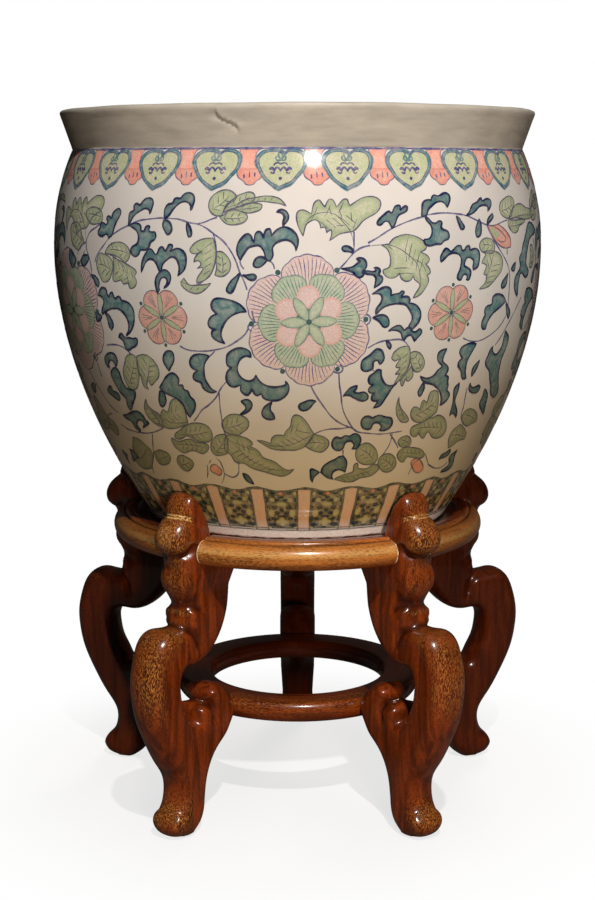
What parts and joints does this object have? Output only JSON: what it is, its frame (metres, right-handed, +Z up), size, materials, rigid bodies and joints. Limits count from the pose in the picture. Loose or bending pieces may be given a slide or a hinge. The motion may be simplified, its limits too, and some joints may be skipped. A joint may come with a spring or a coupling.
{
  "type": "jardiniere on stand",
  "caption": "Wide glazed planter bowl with a flared rim, resting in a carved wooden stand with scrolled legs, a moulded apron and a lower ring stretcher.",
  "frame": {"origin": "on the floor, under the axis that the bowl and the stand share", "axes": "+Z up along the bowl's axis, -Y towards the front, midway between two legs; one leg stands at the back on +Y"},
  "size_m": [0.4559, 0.461, 0.649],
  "materials": {
    "porcelain": "warm off-white glaze with underglaze blue outlines and enamel flowers, dull rim band",
    "hardwood": "reddish-brown lacquered hardwood, rubbed lighter on the high places",
    "dowel_wood": "bare beech dowel",
    "screw_steel": "plain steel wood screw"
  },
  "bodies": {
    "stand": {"top_panel": "hardwood", "apron_rail_1": "hardwood", "apron_rail_2": "hardwood", "apron_rail_3": "hardwood", "apron_rail_4": "hardwood", "apron_rail_5": "hardwood", "leg_1": "hardwood", "leg_2": "hardwood", "leg_3": "hardwood", "leg_4": "hardwood", "leg_5": "hardwood", "stretcher_1": "hardwood", "stretcher_2": "hardwood", "stretcher_3": "hardwood", "stretcher_4": "hardwood", "stretcher_5": "hardwood", "rail_dowels": "dowel_wood", "stretcher_dowels": "dowel_wood", "hook_screws": "screw_steel"},
    "bowl": {"bowl": "porcelain"}
  },
  "joints": [
    {"name": "bowl_lift", "type": "slide", "parent": "stand", "child": "bowl", "axis": [0, 0, 1], "range_m": [0, 0.15]}
  ]
}
